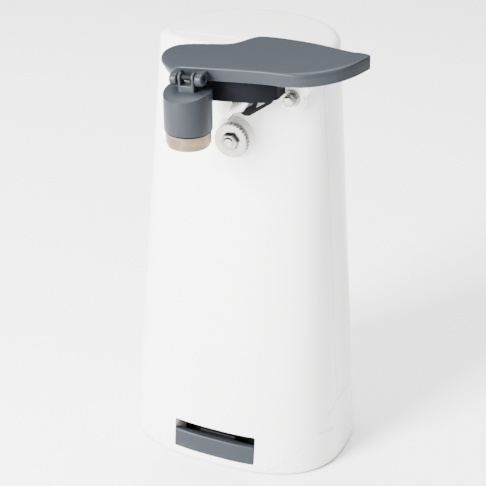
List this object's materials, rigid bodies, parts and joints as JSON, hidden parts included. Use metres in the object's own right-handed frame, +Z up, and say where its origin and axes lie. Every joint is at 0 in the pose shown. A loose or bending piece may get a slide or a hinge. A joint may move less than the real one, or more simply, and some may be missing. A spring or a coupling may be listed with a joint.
{
  "type": "electric can opener",
  "caption": "Upright electric can opener with a tapered housing, a side lever carrying a cutting blade, a hanging magnet lid holder, a toothed drive wheel and a bottle opener slot.",
  "frame": {"origin": "on the surface the feet stand on, under the centre of the whole object's box", "axes": "+Z up, -Y towards the front with the lever and drive wheel, +X towards the lever's paddle"},
  "size_m": [0.1436, 0.122, 0.2565],
  "materials": {
    "housing_white": "glossy warm white moulding",
    "lever_grey": "satin bluish grey moulding",
    "carrier_dark": "fine-textured dark grey moulding",
    "black_plastic": "matt black moulding",
    "bright_steel": "plated bright steel",
    "zinc_plate": "dull zinc-plated steel",
    "magnet_nickel": "nickel-plated cup",
    "bush_bronze": "sintered bronze",
    "ferrite": "dull dark ceramic magnet",
    "gear_nylon": "natural nylon",
    "foot_rubber": "soft black rubber"
  },
  "bodies": {
    "housing": {"front_housing": "housing_white", "rear_cover": "housing_white", "base_skirt": "housing_white", "base_plate": "housing_white", "opener_pocket": "housing_white", "opener_lip": "lever_grey", "switch_body": "black_plastic", "guide_stud": "bright_steel", "stud_clip": "bright_steel", "lever_pivot_pin": "bright_steel", "opener_hook": "bright_steel", "gear_axle_1": "bright_steel", "gear_axle_2": "bright_steel", "gear_plate_front": "zinc_plate", "gear_plate_rear": "zinc_plate", "plate_spacer_1": "zinc_plate", "plate_spacer_2": "zinc_plate", "plate_spacer_3": "zinc_plate", "plate_spacer_4": "zinc_plate", "motor_body": "zinc_plate", "case_screw_1": "zinc_plate", "case_screw_2": "zinc_plate", "case_screw_3": "zinc_plate", "case_screw_4": "zinc_plate", "base_screw_1": "zinc_plate", "base_screw_2": "zinc_plate", "base_screw_3": "zinc_plate", "base_screw_4": "zinc_plate", "gearbox_screw_1": "zinc_plate", "gearbox_screw_2": "zinc_plate", "gearbox_screw_3": "zinc_plate", "gearbox_screw_4": "zinc_plate", "spindle_bush": "bush_bronze", "rubber_foot_1": "foot_rubber", "rubber_foot_2": "foot_rubber", "rubber_foot_3": "foot_rubber", "rubber_foot_4": "foot_rubber", "cord_inlet_bush": "foot_rubber"},
    "lever": {"lever_plate": "lever_grey", "blade_carrier": "carrier_dark", "cutting_blade": "bright_steel", "rim_guide": "black_plastic", "blade_screw": "zinc_plate", "guide_screw": "zinc_plate", "magnet_hinge_pin": "bright_steel"},
    "magnet": {"magnet_holder": "lever_grey", "magnet_cup": "magnet_nickel", "magnet_disc": "ferrite"},
    "drive": {"drive_wheel": "bright_steel", "wheel_nut": "zinc_plate", "drive_spindle": "bright_steel", "output_gear": "zinc_plate"},
    "gear_1": {"reduction_gear_1": "gear_nylon"},
    "gear_2": {"reduction_gear_2": "gear_nylon"},
    "motor_rotor": {"motor_shaft": "bright_steel", "motor_pinion": "bush_bronze"},
    "button": {"switch_button": "carrier_dark"}
  },
  "joints": [
    {"name": "lever_hinge", "type": "hinge", "parent": "housing", "child": "lever", "pos_m": [-0.02176, -0.03157, 0.234], "axis": [0, -1, 0], "range_deg": [0, 40]},
    {"name": "magnet_hinge", "type": "hinge", "parent": "lever", "child": "magnet", "pos_m": [-0.01296, -0.04857, 0.243], "axis": [-0.9962, 0, -0.0877], "range_deg": [0, 75]},
    {"name": "drive_spin", "type": "hinge", "parent": "housing", "child": "drive", "pos_m": [-0.00116, -0.00157, 0.2005], "axis": [0, -1, 0], "continuous": true},
    {"name": "gear_1_spin", "type": "hinge", "parent": "housing", "child": "gear_1", "pos_m": [-0.00116, 0.00143, 0.168], "axis": [0, -1, 0], "continuous": true},
    {"name": "gear_2_spin", "type": "hinge", "parent": "housing", "child": "gear_2", "pos_m": [-0.00116, 0.00543, 0.144], "axis": [0, -1, 0], "continuous": true},
    {"name": "motor_spin", "type": "hinge", "parent": "housing", "child": "motor_rotor", "pos_m": [-0.00116, 0.00843, 0.1248], "axis": [0, -1, 0], "continuous": true},
    {"name": "button_press", "type": "slide", "parent": "housing", "child": "button", "axis": [0, 0, 1], "range_m": [-0.0018, 0], "stiffness_N_per_m": 250}
  ],
  "couplings": [
    {"joint": "gear_1_spin", "follows": "drive_spin", "ratio": -3.3333},
    {"joint": "gear_2_spin", "follows": "drive_spin", "ratio": 10},
    {"joint": "motor_spin", "follows": "drive_spin", "ratio": -30}
  ]
}
